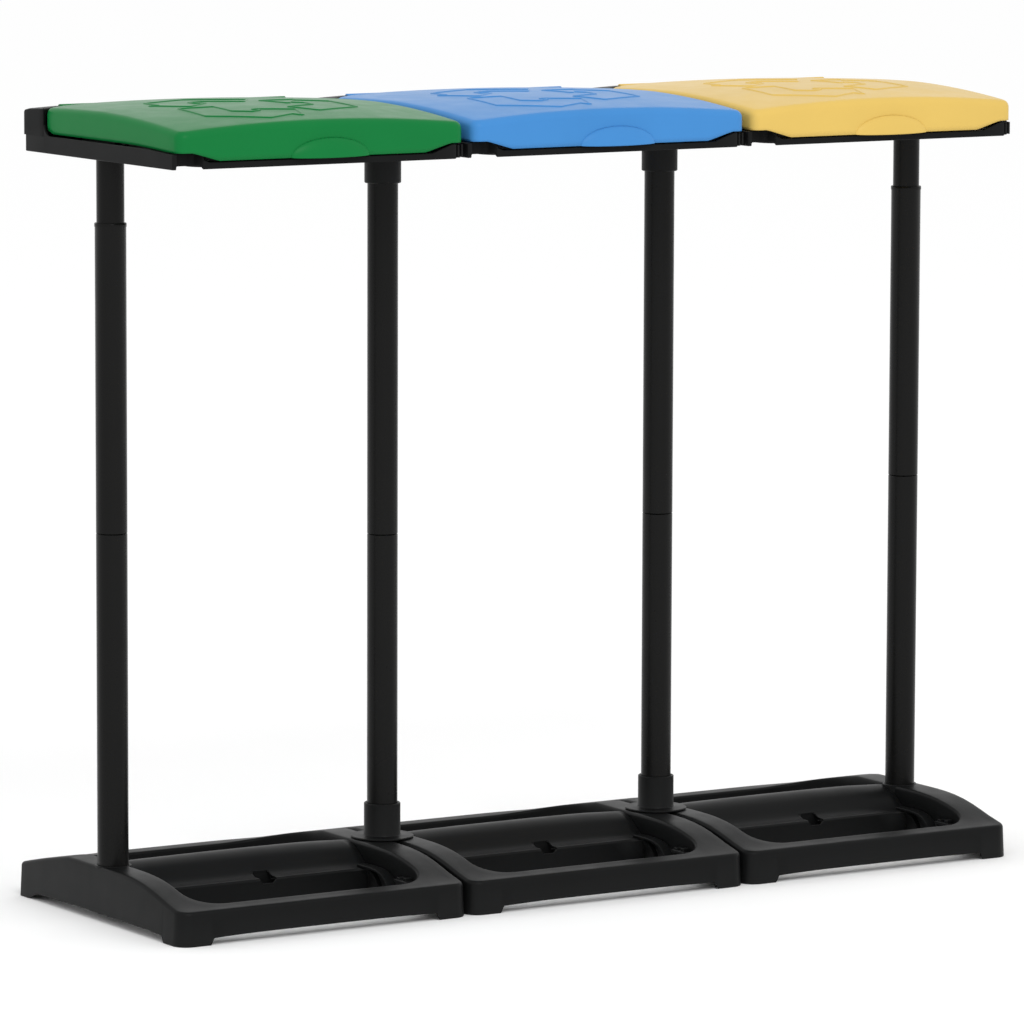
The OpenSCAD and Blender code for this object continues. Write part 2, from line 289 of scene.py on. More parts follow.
def make(name, shape, material, body="stand", shell=0.0, bevel=0.0, stands_for=()):
    """The shape as an object: cleaned, thickened by shell away from the side that faces up and out,
    its edges softened by bevel."""
    tiny, sharp = 1e-6, math.radians(38)
    mesh = plain_mesh(name, shape)
    bm = bmesh.new()
    bm.from_mesh(mesh)
    bmesh.ops.remove_doubles(bm, verts=bm.verts, dist=tiny)
    bmesh.ops.dissolve_degenerate(bm, edges=bm.edges, dist=tiny)
    if not shell:
        bmesh.ops.recalc_face_normals(bm, faces=bm.faces)
    elif sum(f.normal.z * f.calc_area() for f in bm.faces) < 0:
        bmesh.ops.reverse_faces(bm, faces=bm.faces)
    for face in bm.faces:
        face.smooth = True
    for edge in bm.edges:
        if len(edge.link_faces) == 2 and edge.calc_face_angle(0.0) > sharp:
            edge.smooth = False
    bm.to_mesh(mesh)
    bm.free()
    mesh.materials.append(material)
    obj = bpy.data.objects.new(name, mesh)
    bpy.context.scene.collection.objects.link(obj)
    if shell:
        solid = obj.modifiers.new("wall", "SOLIDIFY")
        solid.thickness = shell * MM
        solid.offset = -1
        solid.use_quality_normals = True
    if bevel:
        for edge in mesh.edges:
            edge.use_edge_sharp = False
        soft = obj.modifiers.new("soft_edges", "BEVEL")
        soft.width = bevel * MM
        soft.segments = 3
        soft.limit_method = "ANGLE"
        soft.angle_limit = math.radians(35)
        soft.harden_normals = True
    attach(obj, body)
    if stands_for:
        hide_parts(*stands_for)
    return obj


def carve(obj, cutter):
    """Cuts the cutter shape out of the object for good."""
    mesh = plain_mesh("cutter", cutter)
    bm = bmesh.new()
    bm.from_mesh(mesh)
    bmesh.ops.recalc_face_normals(bm, faces=bm.faces)
    bm.to_mesh(mesh)
    bm.free()
    tool = bpy.data.objects.new("cutter", mesh)
    bpy.context.scene.collection.objects.link(tool)
    step = obj.modifiers.new("cut", "BOOLEAN")
    step.object = tool
    step.operation = "DIFFERENCE"
    step.solver = "EXACT"
    step.use_self = True
    bpy.context.view_layer.update()
    result = obj.evaluated_get(bpy.context.evaluated_depsgraph_get())
    made = bpy.data.meshes.new_from_object(result)
    obj.modifiers.clear()
    obj.data = made
    bpy.data.objects.remove(tool)


# ---- materials ----

CLOUD_SCALE = 9.0
PATCH_SCALE = 35.0
UNEVEN = 0.03
RUB_START = 0.53
RUB_FULL = 0.62


def nodes_of(material):
    """The material's node tree and its main shader."""
    material.use_nodes = True
    tree = material.node_tree
    return tree, tree.nodes["Principled BSDF"]


def noise(tree, scale, detail=2.0):
    """Noise in object space; scale is in lumps per metre."""
    place = tree.nodes.new("ShaderNodeTexCoord")
    node = tree.nodes.new("ShaderNodeTexNoise")
    node.inputs["Scale"].default_value = scale
    node.inputs["Detail"].default_value = detail
    tree.links.new(place.outputs["Object"], node.inputs["Vector"])
    return node.outputs["Fac"]


def spread(tree, value, low, high):
    """The value's middle stretch mapped to low..high."""
    node = tree.nodes.new("ShaderNodeMapRange")
    node.inputs["From Min"].default_value = 0.3
    node.inputs["From Max"].default_value = 0.7
    node.inputs["To Min"].default_value = low
    node.inputs["To Max"].default_value = high
    tree.links.new(value, node.inputs["Value"])
    return node.outputs["Result"]


def plastic(name, colour, rough, gloss, grain, grain_size, cloud=0.06, edge=0.0):
    """Moulded plastic: cloudy colour, uneven roughness, a fine grain (grain_size in lumps per metre)
    and, where edge isn't zero, paler rubbed edges."""
    material = bpy.data.materials.new(name)
    tree, shader = nodes_of(material)
    tone = tree.nodes.new("ShaderNodeHueSaturation")
    tone.inputs["Color"].default_value = (*colour, 1.0)
    value = spread(tree, noise(tree, CLOUD_SCALE, 3.0), 1 - cloud, 1 + cloud)
    tree.links.new(value, tone.inputs["Value"])
    paint = tone.outputs["Color"]
    if edge:
        geometry = tree.nodes.new("ShaderNodeNewGeometry")
        rub = tree.nodes.new("ShaderNodeMapRange")
        rub.inputs["From Min"].default_value = RUB_START
        rub.inputs["From Max"].default_value = RUB_FULL
        rub.inputs["To Max"].default_value = edge
        tree.links.new(geometry.outputs["Pointiness"], rub.inputs["Value"])
        mix = tree.nodes.new("ShaderNodeMix")
        mix.data_type = "RGBA"
        paler = [min(1.0, c * 2 + 0.02) for c in colour]
        mix.inputs["B"].default_value = (*paler, 1.0)
        tree.links.new(rub.outputs["Result"], mix.inputs["Factor"])
        tree.links.new(paint, mix.inputs["A"])
        paint = mix.outputs["Result"]
    tree.links.new(paint, shader.inputs["Base Color"])
    uneven = spread(tree, noise(tree, PATCH_SCALE, 3.0), rough - UNEVEN, rough + UNEVEN)
    tree.links.new(uneven, shader.inputs["Roughness"])
    shader.inputs["Specular IOR Level"].default_value = gloss
    bump = tree.nodes.new("ShaderNodeBump")
    bump.inputs["Strength"].default_value = grain
    bump.inputs["Distance"].default_value = 0.0002
    tree.links.new(noise(tree, grain_size, 1.5), bump.inputs["Height"])
    tree.links.new(bump.outputs["Normal"], shader.inputs["Normal"])
    return material


def steel():
    """Drawn steel wire of the hinge pins."""
    material = bpy.data.materials.new("pin_steel")
    tree, shader = nodes_of(material)
    shader.inputs["Base Color"].default_value = (0.55, 0.56, 0.57, 1.0)
    shader.inputs["Metallic"].default_value = 1.0
    tree.links.new(spread(tree, noise(tree, 900.0), 0.28, 0.42), shader.inputs["Roughness"])
    return material


BLACK = (0.0052, 0.0055, 0.0056)

# Each row: name, colour, roughness, specular level, grain strength, grain lumps per metre.
MATERIALS = {
    "base": plastic("base_black", BLACK, 0.41, 0.09, 0.25, 1500.0, edge=0.3),
    "post": plastic("post_black", (0.0042, 0.0042, 0.0040), 0.28, 0.12, 0.10, 900.0),
    "collar": plastic("collar_black", BLACK, 0.44, 0.13, 0.2, 1500.0),
    "rim": plastic("rim_black", BLACK, 0.40, 0.05, 0.25, 1500.0, edge=0.3),
    "ring": plastic("ring_grey", (0.05, 0.052, 0.054), 0.55, 0.3, 0.25, 1500.0),
    "green": plastic("lid_green", (0.005, 0.158, 0.036), 0.32, 0.08, 0.16, 1300.0, cloud=0.03),
    "blue": plastic("lid_blue", (0.052, 0.220, 0.520), 0.32, 0.08, 0.16, 1300.0, cloud=0.03),
    "yellow": plastic("lid_yellow", (0.64, 0.440, 0.112), 0.32, 0.08, 0.16, 1300.0, cloud=0.03),
}


# ---- base ----

EDGE_Z = 39.6
REAR_BAR_Z = 42.0
FRONT_R = 18.0
REAR_R = 6.8
CORNER_FOOT = 40.0
REAR_FOOT = 22.0
FRONT_STEP = 5.0
REAR_STEP = 27.0
ARCH_LOW = 5.0
ARCH_HIGH = 9.5
WINDOW = {"left": -156.0, "right": 151.5, "front": -170.0, "rear": 168.0,
          "front_r": 38.0, "rear_r": 64.0}
BASE_TOP = CROWN_Z - 0.5
LEVEL_FRONT = -15.0
LEVEL_REAR = 78.0


def base_top(p):
    """Height of the base's top: level at the posts, an S curve to the front, a slope to the rear of
    the side bars and a level rear bar."""
    front = max(0.0, (LEVEL_FRONT - p.y) / (HALF_D + LEVEL_FRONT))
    rear = max(0.0, (p.y - LEVEL_REAR) / (HALF_D - LEVEL_REAR))
    fall = math.sin(math.pi / 2 * front ** 1.75) ** 2 + rear ** 1.15
    side = BASE_TOP - (BASE_TOP - EDGE_Z) * min(1.0, fall)
    bar_end, bar_ramp, bar_front, bar_rise = 145, 80, 125, 35
    level = smooth((bar_end - abs(p.x)) / bar_ramp) * smooth((p.y - bar_front) / bar_rise)
    return side + (REAR_BAR_Z - side) * level


def base_floor(p):
    """Height of the wall's lower edge: feet at the corners, a long low arch between them."""
    if abs(p.x) > HALF_W - 0.1:
        clear = min((p.y + HALF_D - CORNER_FOOT) / FRONT_STEP,
                    (HALF_D - REAR_FOOT - p.y) / REAR_STEP)
        along = p.y / HALF_D
    else:
        clear = (HALF_W - abs(p.x) - CORNER_FOOT) / FRONT_STEP
        along = p.x / HALF_W
    return smooth(clear) * (ARCH_LOW + (ARCH_HIGH - ARCH_LOW) * (1 - along ** 4))


def foot_steps(edge, step):
    """Places along a wall where the step from a foot to the arch bends."""
    return [edge + step * t for t in (0.0, 0.25, 0.5, 0.75, 1.0)]


def base_frame():
    """The moulding round the window, from the outer wall's foot over the top and down inside."""
    along = [-140 + 18 * i for i in range(16)]
    along += foot_steps(CORNER_FOOT - HALF_D, FRONT_STEP) + foot_steps(HALF_D - REAR_FOOT, -REAR_STEP)
    side = fractions(along, FRONT_R - HALF_D, HALF_D - REAR_R)
    across = [-132 + 24 * i for i in range(12)]
    across += [sign * x for x in foot_steps(HALF_W - CORNER_FOOT, -FRONT_STEP) for sign in (-1, 1)]
    front = fractions(across, FRONT_R - HALF_W, HALF_W - FRONT_R)
    rear = fractions(across, REAR_R - HALF_W, HALF_W - REAR_R)
    stops = [side, rear, [1 - t for t in side[::-1]], front]
    outer = outline([(HALF_W, -HALF_D, FRONT_R), (HALF_W, HALF_D, REAR_R),
                     (-HALF_W, HALF_D, REAR_R), (-HALF_W, -HALF_D, FRONT_R)], 8, stops)
    w = WINDOW
    window = outline([(w["right"], w["front"], w["front_r"]), (w["right"], w["rear"], w["rear_r"]),
                      (w["left"], w["rear"], w["rear_r"]), (w["left"], w["front"], w["front_r"])],
                     8, stops)
    floor = [base_floor(p) for p in outer]
    draft, soft, round_out, round_in, draft_in = 1.6, 0.8, 4.5, 3.5, 0.6

    def over(loop, drop=0.0):
        return ring_at(loop, [base_top(p) - drop for p in loop])

    rings = [ring_at(inset(outer, soft), floor), ring_at(outer, [z + soft for z in floor])]
    shoulder = inset(outer, draft)
    rings.append(ring_at(shoulder, [base_top(p) - round_out for p in shoulder]))
    for a in quarter(5)[1:]:
        rings.append(over(inset(outer, draft + round_out * (1 - math.cos(a))),
                          round_out * (1 - math.sin(a))))
    edge_out = inset(outer, draft + round_out)
    edge_in = inset(window, -round_in)
    for t in even(4):
        rings.append(over([a.lerp(b, t) for a, b in zip(edge_out, edge_in)]))
    for a in quarter(5):
        rings.append(over(inset(window, -round_in * (1 - math.sin(a))),
                          round_in * (1 - math.cos(a))))
    rings.append(ring_at(inset(window, draft_in), ARCH_HIGH + 0.5))
    return Shape().skin(rings)


BAR_MIDDLE_Y = 18.0
BAR_SECTION = [(-31, 34.5), (-30.5, 37.2), (-27, 38.8), (-22, 41.2), (-16, 45.5), (-9, 52), (-1, 58),
               (8, 61.8), (BAR_MIDDLE_Y, 63.2), (28, 62), (38, 58), (47, 51.5), (54, 44), (60, 35)]


def crossbar():
    """Half-round bar across the window: a convex back that bows up a little in the middle, a steep
    flank and a front hem that flares forwards at its ends."""
    top = [(p.x, p.y) for p in curve(BAR_SECTION, 4)]
    hem_z, height, reach = BAR_SECTION[0][1], 29, 49
    left, right = WINDOW["left"] - WALL, WINDOW["right"] + WALL
    rings = []
    steps = 24
    for i in range(steps + 1):
        t = i / steps
        bow = 1.0 - 1.2 * (2 * t - 1) ** 2 - 1.5 * smooth((t - 0.8) / 0.2)
        flare = 9.0 * smooth((t - 0.88) / 0.12) ** 2 + 5.0 * smooth((0.06 - t) / 0.06)
        rings.append([(left + (right - left) * t,
                       y - flare * max(0.0, (BAR_MIDDLE_Y - y) / reach) ** 2,
                       z + bow * max(0.0, (z - hem_z) / height)) for y, z in top])
    return Shape().skin(rings, loops=False)


def slot():
    """Cutter for the slot in the crossbar's hem, wider at the top."""
    low, high, front, rear = 31.5, 43.0, -46.0, -19.5
    section = [(5, low), (19, low), (23, low + 4), (23, high - 2), (20, high), (4, high),
               (1, high - 2), (1, low + 4)]
    return Shape().skin([[(x, y, z) for x, z in section] for y in (front, rear)], caps=True)


def pocket():
    """Plate that closes the slot from behind."""
    return block((-2.0, -19.2, 20.0), (48.0, -16.0, 43.0))


def lip():
    """Upright wall in front of the crossbar, hung from its hem by a narrow ledge."""
    wall_y, ledge_z, foot_z, hem_y, end_x = -41.0, 38.0, 11.0, -25.0, 146.0
    section = [(wall_y, foot_z), (wall_y + WALL, foot_z), (wall_y + WALL, ledge_z - WALL),
               (hem_y, 35.5), (hem_y, 38.5), (wall_y + 2, ledge_z), (wall_y, ledge_z - 2)]
    return bar(section, WINDOW["left"] - WALL, end_x, 12)


def hook():
    """Curved strap from the lip's end down along the side of the window, with a narrower one inside."""
    end_x = WINDOW["right"] - 1.0
    outer = curve([(-30, 38.5), (-60, 38.5), (-78, 36.5), (-90, 31), (-97, 22), (-99, 10)], 6)
    inner = curve([(-38, 36), (-52, 31), (-62, 22), (-67, 11)], 5)
    arm = strip(outer, -WALL, end_x - 13.5, end_x)
    return arm.add(strip(inner, -2.5, end_x - 6.5, end_x))


def bracket():
    """Small clip on the window's right wall, in front of the hook."""
    wall_x = WINDOW["right"] + 1.5
    clip = block((wall_x - 11.0, -134.0, 32.0), (wall_x, -106.0, 35.0))
    clip.add(block((wall_x - 9.0, -130.0, 34.5), (wall_x, -123.0, 39.0)))
    return clip.add(block((wall_x - 9.0, -115.0, 34.5), (wall_x, -109.0, 37.5)))


def wall_rib():
    """Upright rib on the rear bar's inner wall."""
    return block((128.0, WINDOW["rear"] - 9.0, 10.0), (131.0, WINDOW["rear"] + 2.0, 40.0))


def end_boss(side):
    """Socket of an end post, bulging into the window."""
    profile = pipe(TUBE_BORE + WALL, TUBE_BORE, 12.0, BASE_TOP + 0.4, 0.8)
    return lathe(profile, (side * END_POST_X, POST_Y))


def make_base(side):
    """One base frame, with sockets for the end posts on the outer two."""
    ends = {"left": [-1], "centre": [], "right": [1]}[side]
    name = "base_" + side
    x = CENTRE_X[side]
    look = MATERIALS["base"]
    make(name + "_frame", base_frame().moved(x), look, shell=WALL, stands_for=[name])
    rail = make(name + "_crossbar", crossbar().moved(x), look, shell=2.2)
    carve(rail, slot().moved(x))
    details = lip().add(pocket()).add(hook()).add(bracket()).add(wall_rib())
    fittings = make(name + "_fittings", details.moved(x), look, bevel=0.8)
    carve(fittings, slot().moved(x))
    for end in ends:
        make(name + "_socket", end_boss(end).moved(x), look)


# ---- posts and collars ----

def post_x(number):
    """Where a post stands along x; the posts are numbered from the left."""
    return middle(f"post_lower_{number}").x


def make_post(number):
    """Two tubes, one on the other, with a fine joint between them. The end posts have a bead on top."""
    x = post_x(number)
    low, joint = box(f"post_lower_{number}")[0].z, box(f"post_upper_{number}")[0].z
    top = box(f"post_upper_{number}")[1].z
    bore, soft, below, above = TUBE_R - TUBE_WALL, 0.5, 0.4, 0.2
    lower = pipe(TUBE_R, bore, low, joint - below, soft)
    make(f"post_lower_{number}_tube", lathe(lower, (x, POST_Y)), MATERIALS["post"],
         stands_for=[f"post_lower_{number}"])
    upper = pipe(TUBE_R, bore, joint + above, top, soft)
    if number in (1, 4):
        bead = TUBE_R + 0.5
        hem = [(TUBE_R, top - 5), (bead, top - 4), (bead, top - 0.7), (TUBE_R, top)]
        upper = upper[:2] + hem + upper[4:]
    make(f"post_upper_{number}_tube", lathe(upper, (x, POST_Y)), MATERIALS["post"],
         stands_for=[f"post_upper_{number}"])


def make_neck(side, number):
    """Thinner tube from an end post up into the rim."""
    low, high = box("post_neck_" + side)
    shape = lathe(pipe(NECK_R, NECK_R - TUBE_WALL, low.z, high.z), (post_x(number), POST_Y))
    make(f"post_neck_{side}_tube", shape, MATERIALS["post"],
         stands_for=["post_neck_" + side])


def make_base_collar(side, number):
    """Flanged collar over the seam of two bases."""
    low, high = box("base_collar_" + side)
    bore, stub, seat, top = TUBE_BORE, STUB_R, CROWN_Z + 0.1, high.z
    thick, fillet = 2.2, 2.5
    profile = [(bore, low.z), (stub, low.z), (stub, seat), (FLANGE_R - 0.6, seat),
               (FLANGE_R, seat + 0.6), (FLANGE_R, seat + thick - 0.8),
               (FLANGE_R - 0.8, seat + thick), (COLLAR_R + fillet, seat + thick),
               (COLLAR_R + 0.7, seat + thick + 0.7), (COLLAR_R, seat + thick + fillet),
               (COLLAR_R, top - 0.8), (COLLAR_R - 0.8, top), (bore + 0.8, top), (bore, top - 0.8)]
    make(f"base_collar_{side}_turned", lathe(profile, (post_x(number), POST_Y), 72),
         MATERIALS["collar"], stands_for=["base_collar_" + side])


def make_rim_collar(side, number):
    """Plain collar between a middle post and two rim frames."""
    low, high = box("rim_collar_" + side)
    bore, stub, seat = TUBE_BORE, STUB_R, RIM_LOW.z - 0.1
    profile = [(bore, low.z + 0.8), (bore + 0.8, low.z), (COLLAR_R - 0.9, low.z),
               (COLLAR_R, low.z + 0.9), (COLLAR_R, seat), (stub, seat),
               (stub, high.z), (bore, high.z)]
    make(f"rim_collar_{side}_turned", lathe(profile, (post_x(number), POST_Y), 72),
         MATERIALS["collar"], stands_for=["rim_collar_" + side])


# ---- lid ----

LID_FRONT = -188.0
LID_REAR = LID_HIGH.y
LID_MID_Y = -10.0
FRONT_BEND_R = 1760.0
REAR_BEND_R = 2900.0
SKIRT_Z = 898.0
SIDE_HEM_Z = SKIRT_Z - 3.0
APRON_Z = 885.5
APRON_RAMP = 33
APRON_IN = LID_HALF - 52
CUT_SUM = LID_HALF + 124.0  # x + y where the cut beside a hinge ear starts
TONGUE_X = LID_HALF - 36.0
SWING_ROOM = 9.0  # how much further forward than at 45 degrees the cut ends at the tongue
SKIRT_END_R = 14.0


def lid_top(x, y):
    """Height of the lid's domed surface."""
    bend = FRONT_BEND_R if y < LID_MID_Y else REAR_BEND_R
    droop = 5.0 + 4.5 * max(0.0, -y) / -LID_FRONT
    return LID_HIGH.z - (y - LID_MID_Y) ** 2 / (2 * bend) - droop * (x / LID_HALF) ** 2


def lid_outline():
    """Rounded front corners; behind, cut off slantwise with room to swing past the hinge ears."""
    right = [(LID_HALF, LID_FRONT, 12.0), (LID_HALF, CUT_SUM - LID_HALF, 9.0),
             (TONGUE_X, CUT_SUM - TONGUE_X - SWING_ROOM, 3.0), (TONGUE_X, LID_REAR, 3.0)]
    left = [(-x, y, r) for x, y, r in right[::-1]]
    stops = [even(24), even(4), even(2), even(30), even(2), even(4), even(24), even(60)]
    return outline(right + left, 6, stops)


def lid_hem(p):
    """Height of the skirt's lower edge at a point of the outline."""
    x = abs(p.x)
    if p.y > LID_REAR - 8:
        return HINGE.z
    if p.y < LID_FRONT + 2 and x < LID_HALF - 13:
        rise = max(0.0, (x - APRON_IN) / APRON_RAMP)
        return APRON_Z + (SIDE_HEM_Z - APRON_Z) * min(1.0, rise)
    side = SIDE_HEM_Z + 4.0 * smooth((p.y - LID_FRONT) / 120)
    start = CUT_SUM - LID_HALF - SKIRT_END_R
    reach = max(0.0, min(1.0, (p.y - start) / SKIRT_END_R))
    return side + SKIRT_END_R * (1 - math.sqrt(1 - reach * reach))


def top_fillet(p):
    """Radius of the lid's upper edge, smaller beside the hinge ears."""
    plain, less, start, length = 7.5, 4.7, 122, 12
    return plain - less * smooth((p.y - start) / length)


def domed(loop, hem, top, fillet, levels, wall_steps=4):
    """Rings from the hem up the wall, round the upper edge and in to the middle of a domed top."""
    radii = [fillet(p) for p in loop]
    shoulder = [top(p.x, p.y) - r for p, r in zip(loop, radii)]
    rings = []
    for step in range(wall_steps):
        t = step / wall_steps
        rings.append(ring_at(loop, [a + (b - a) * t for a, b in zip(hem, shoulder)]))
    for a in quarter(6):
        moved = inset(loop, [r * (1 - math.cos(a)) for r in radii])
        rings.append(ring_at(moved, [top(p.x, p.y) - r * (1 - math.sin(a))
                                     for p, r in zip(moved, radii)]))
    edge = [Vector(p[:2]) for p in rings[-1]]
    centre = sum(edge, Vector((0.0, 0.0))) / len(edge)
    for level in range(1, levels + 1):
        scale = 1 - level / (levels + 0.4)
        inner = [centre + (p - centre) * scale for p in edge]
        rings.append(ring_at(inner, [top(p.x, p.y) for p in inner]))
    return rings


def lid_shell():
    """The lid's outer skin, closed at the crown and open below."""
    loop = lid_outline()
    shape = Shape().skin(domed(loop, [lid_hem(p) for p in loop], lid_top, top_fillet, 22, 5))
    last = len(shape.points) - len(loop)
    shape.faces.append(tuple(range(last, last + len(loop))))
    return shape


def thumb_lip():
    """Shallow bulge in the middle of the apron, to lift the lid by."""
    centre, half, height, depth, dip = 9.0, 51.0, 22.0, 9.0, 1.2
    columns, rows = 40, 14
    grid = []
    for j in range(rows + 1):
        row = []
        for i in range(columns + 1):
            u = math.sin(math.pi / 2 * (2 * i / columns - 1))
            arch = math.sqrt(max(0.0, 1 - u * u))
            v = j / rows * arch
            low = APRON_Z - dip * arch
            bulge = max(0.0, 1 - u * u - v * v) ** 0.6
            row.append((centre + half * u, LID_FRONT + 0.4 - depth * bulge, low + (height + dip) * v))
        grid.append(row)
    return Shape().skin(grid, loops=False)


def barrel():
    """Round hinge bead along the lid's rear edge, bored at both ends for the pins."""
    bore, deep = 2.55, 19.0
    end, inner = TONGUE_X, TONGUE_X - deep
    profile = [(bore, end), (BARREL_R - 0.8, end), (BARREL_R, end - 0.8),
               (BARREL_R, 0.8 - end), (BARREL_R - 0.8, -end), (bore, -end),
               (bore, -inner), (0.01, -inner), (0.01, inner), (bore, inner)]
    return lathe(profile, (HINGE.y, HINGE.z), 32, axis="x")


ARROW_TURNS = (25, 145, 265)
ARROW_MIDDLE = Vector((-12.0, -38.0))
ARROW_IN_R = 70.0
ARROW_HALF = 22.0
HEAD_HALF = 38.0
HEAD_LENGTH = 38.0


def arrow(turn):
    """Outline of one of three arrows that chase each other round a triangle."""
    side = ARROW_IN_R * math.sqrt(3)
    tail, bend, neck = 0.08 * side, 0.60 * side, 0.36 * side
    path = [Vector((tail, -ARROW_IN_R)), Vector((bend, -ARROW_IN_R))]
    spin = Matrix.Rotation(math.radians(120), 2)
    path += [spin @ Vector((-bend, -ARROW_IN_R)), spin @ Vector((-neck, -ARROW_IN_R))]
    left, right = [], []
    for i, p in enumerate(path):
        a = (p - path[i - 1]).normalized() if i else (path[1] - p).normalized()
        b = (path[i + 1] - p).normalized() if i + 1 < len(path) else a
        out = Vector((a.y + b.y, -a.x - b.x)).normalized()
        out /= max(0.5, out.dot(Vector((a.y, -a.x))))
        right.append(p + out * ARROW_HALF)
        left.append(p - out * ARROW_HALF)
    ahead = (path[-1] - path[-2]).normalized()
    across = Vector((ahead.y, -ahead.x))
    foot = path[-1]
    head = [foot + across * HEAD_HALF, foot + ahead * HEAD_LENGTH, foot - across * HEAD_HALF]
    corners = right + head + left[::-1]
    rotation = Matrix.Rotation(math.radians(turn), 2)
    return [(*(ARROW_MIDDLE + rotation @ p), 2.5) for p in corners]


def ridge(corners):
    """Raised line along a closed outline on the lid's surface."""
    section = [(-2.3, -0.9), (-1.9, 0.0), (-1.1, 0.9), (-0.4, 1.15), (0.4, 1.15), (1.1, 0.9),
               (1.9, 0.0), (2.3, -0.9)]
    loop = outline(corners, 3, even(8))
    rings = []
    for offset, height in section:
        moved = inset(loop, offset)
        rings.append(ring_at(moved, [lid_top(p.x, p.y) + height for p in moved]))
    return Shape().skin(rings, wraps=True)


def make_lid(side):
    """A lid with its raised arrows, thumb lip and hinge barrel, all on the lid's body."""
    colour = LID_COLOURS[side]
    name, body, look = "lid_" + colour, colour + "_lid", MATERIALS[colour]
    x = CENTRE_X[side]
    make(name + "_shell", lid_shell().moved(x), look, body, shell=LID_WALL, stands_for=[name])
    relief = Shape()
    for turn in ARROW_TURNS:
        relief.add(ridge(arrow(turn)))
    make(name + "_arrows", relief.moved(x), look, body)
    make(name + "_thumb_lip", thumb_lip().moved(x), look, body, shell=2.0)
    make(name + "_barrel", barrel().moved(x), look, body)


# ---- rim frame ----

RIM_FRONT = RIM_LOW.y
RIM_REAR = RIM_HIGH.y + 3.5
RIM_Z = RIM_LOW.z
SIDE_TOP = 896.5
FRONT_DROP = 3.0
FRONT_TOP = 884.0
FRONT_RISE_IN = HALF_W - 46
FRONT_RISE_OUT = HALF_W - 20
NOTCH_R = 15.0
RIM_REAR_R = 4.0
EAR_REAR = RIM_REAR + 3.0
POCKET_END = 4.0
POCKET_DEEP = 17.0
POCKET_X = 6.0
POCKET_W = 31.0
DECK_Z = 881.5
SIDE_END = CUT_SUM - LID_HALF - SKIRT_END_R - 3
SIDE_END_R = SKIRT_END_R * 1.1
SOCKET_TOP = RIM_Z + 16.5
EAR_X = TONGUE_X + 1.5
EAR_SUM = CUT_SUM + 1.5 * math.sqrt(2)  # the same sum for the ear, 1.5 mm clear of the lid
REAR_WALL_TOP = HINGE.z - BARREL_R - 2.0


def rim_outline():
    """Outer wall in plan: a notch at the front right corner, a deeper pocket at the front left one."""
    places = [-140.0, -120.0, -80.0, -30.0, 30.0, 80.0]
    places += [SIDE_END + SIDE_END_R * math.sin(a) for a in quarter(9)]
    right = fractions(places, RIM_FRONT + NOTCH_R, RIM_REAR - RIM_REAR_R)
    left = fractions(places, RIM_FRONT + POCKET_END + 1.5, RIM_REAR - RIM_REAR_R)
    start = POCKET_X + POCKET_W - HALF_W + 2
    front = fractions([-FRONT_RISE_IN, -70, 0, 70, FRONT_RISE_IN, FRONT_RISE_OUT],
                      start, HALF_W - NOTCH_R)
    edge = HALF_W - 0.4
    corners = [(edge, RIM_FRONT, -NOTCH_R), (edge, RIM_REAR - 0.4, RIM_REAR_R),
               (-edge, RIM_REAR - 0.4, RIM_REAR_R), (-edge, RIM_FRONT + POCKET_END, 1.5),
               (POCKET_X - edge, RIM_FRONT + POCKET_END, 1.5),
               (POCKET_X - edge, RIM_FRONT + POCKET_DEEP, 3.0),
               (POCKET_X + POCKET_W - 4 - edge, RIM_FRONT + POCKET_DEEP, 7.0),
               (POCKET_X + POCKET_W - edge, RIM_FRONT, 2.0)]
    turns = [right, even(6), [1 - t for t in left[::-1]], even(2), even(3), even(4), even(3), front]
    return outline(corners, 8, turns)


def in_pocket(p):
    """Whether a point of the outline lies in the front left pocket, where the rim ends higher up."""
    return (RIM_FRONT + 1 < p.y < RIM_FRONT + POCKET_DEEP + 1
            and POCKET_X - 1 < p.x + HALF_W < POCKET_X + POCKET_W)


def rim_top(p):
    """Height of the rim's outer wall at a point of its outline."""
    x = abs(p.x)
    if p.y < RIM_FRONT + 1:
        rise = (x - FRONT_RISE_IN) / (FRONT_RISE_OUT - FRONT_RISE_IN)
        return FRONT_TOP + (SIDE_TOP - FRONT_DROP - FRONT_TOP) * max(0.0, min(1.0, rise))
    if x < HALF_W - 1 and p.y < RIM_FRONT + POCKET_DEEP + 1:
        return SIDE_TOP - FRONT_DROP
    if p.y > RIM_REAR - 1 and x < HALF_W - RIM_REAR_R - 1:
        return REAR_WALL_TOP
    reach = max(0.0, min(1.0, (p.y - SIDE_END) / SIDE_END_R))
    front = FRONT_DROP * smooth((-120 - p.y) / 50)
    return SIDE_TOP - front + SIDE_END_R * (1 - math.sqrt(1 - reach * reach))


def rim_band():
    """Outer wall of the frame, softened along its edges."""
    loop = rim_outline()
    top = [rim_top(p) for p in loop]
    low = [RIM_Z + (3.0 if in_pocket(p) else 0.0) for p in loop]
    soft = 0.7
    inner = inset(loop, RIM_WALL)
    rings = [ring_at(inset(loop, soft), low), ring_at(loop, [z + soft for z in low]),
             ring_at(loop, [z - soft for z in top]), ring_at(inset(loop, soft), top),
             ring_at(inset(loop, RIM_WALL - soft), top), ring_at(inner, [z - soft for z in top]),
             ring_at(inner, [z + soft for z in low]), ring_at(inset(loop, RIM_WALL - soft), low)]
    return Shape().skin(rings, wraps=True)


def mouth_outline(grow):
    """The sack's opening in plan, made larger all round by grow."""
    x, front, rear, r = MOUTH_X + grow, MOUTH_FRONT - grow, MOUTH_REAR + grow, MOUTH_R + grow
    corners = [(x, front, r), (x, rear, r), (-x, rear, r), (-x, front, r)]
    return outline(corners, 8, even(6))


